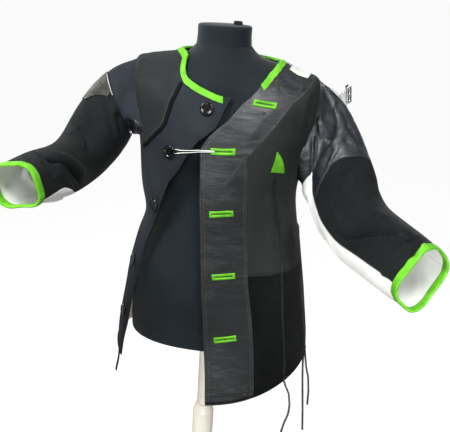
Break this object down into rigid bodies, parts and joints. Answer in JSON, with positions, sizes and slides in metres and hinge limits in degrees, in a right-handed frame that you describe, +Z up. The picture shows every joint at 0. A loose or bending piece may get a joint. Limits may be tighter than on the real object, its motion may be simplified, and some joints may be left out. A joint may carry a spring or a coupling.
{
  "type": "shooting jacket on a dress form",
  "caption": "Open-front target-shooting jacket with a leather front band and bound edges, worn by a limbless dress form on a pole stand.",
  "frame": {"origin": "centre of the stand's base on the floor", "axes": "+Z up along the pole, -Y towards the wearer's front, +X towards the wearer's left"},
  "size_m": [0.8417, 0.5984, 1.4863],
  "materials": {
    "leather": "black grained leather, semi-gloss",
    "canvas": "olive charcoal canvas, matte",
    "suede": "black suede-faced cloth, matte",
    "navy": "navy grey canvas, matte",
    "tape": "bright green woven tape",
    "pale": "white canvas, matte",
    "plastic": "black moulded plastic, glossy",
    "steel": "nickel-plated steel",
    "webbing": "grey woven webbing",
    "cord": "black braided cord and webbing",
    "elastic": "pale elastic cord",
    "jersey": "dark blue-grey jersey over a padded form",
    "cream": "cream lacquer, smooth"
  },
  "bodies": {
    "root": {"back_left": "canvas", "back_right": "canvas", "front_left_leather_upper": "leather", "front_left_leather_lower": "leather", "front_left_chest": "canvas", "front_left_skirt": "suede", "side_left_upper": "canvas", "side_left_skirt": "suede", "front_right_chest": "canvas", "front_right": "navy", "front_right_rolled_edge": "suede", "neck_binding": "tape", "sleeve_left_leather": "leather", "sleeve_left_gusset": "leather", "sleeve_left_canvas": "canvas", "sleeve_left_canvas_back": "canvas", "sleeve_left_under": "pale", "sleeve_right_cap": "navy", "sleeve_right_gusset": "leather", "sleeve_right_upper": "suede", "sleeve_right_lower": "suede", "sleeve_right_under": "pale", "sleeve_right_patch": "leather", "cuff_binding_left": "tape", "cuff_binding_right": "tape", "button_1": "plastic", "button_2": "plastic", "button_3": "plastic", "button_4": "plastic", "button_5": "plastic", "buttonhole_1": "tape", "buttonhole_2": "tape", "buttonhole_3": "tape", "buttonhole_4": "tape", "buttonhole_5": "tape", "dart_triangle": "tape", "shoulder_label": "pale", "sling_slide": "steel", "sling_webbing": "cord", "sling_tab": "webbing", "lace_1": "cord", "lace_2": "cord", "lace_3": "cord", "lace_fitting": "plastic", "hem_strap_right": "cord", "button_loop": "elastic", "form_body": "jersey", "form_neck": "jersey", "form_knob": "jersey", "pole_upper": "cream", "pole_lower": "cream", "base": "cream"}
  },
  "joints": []
}
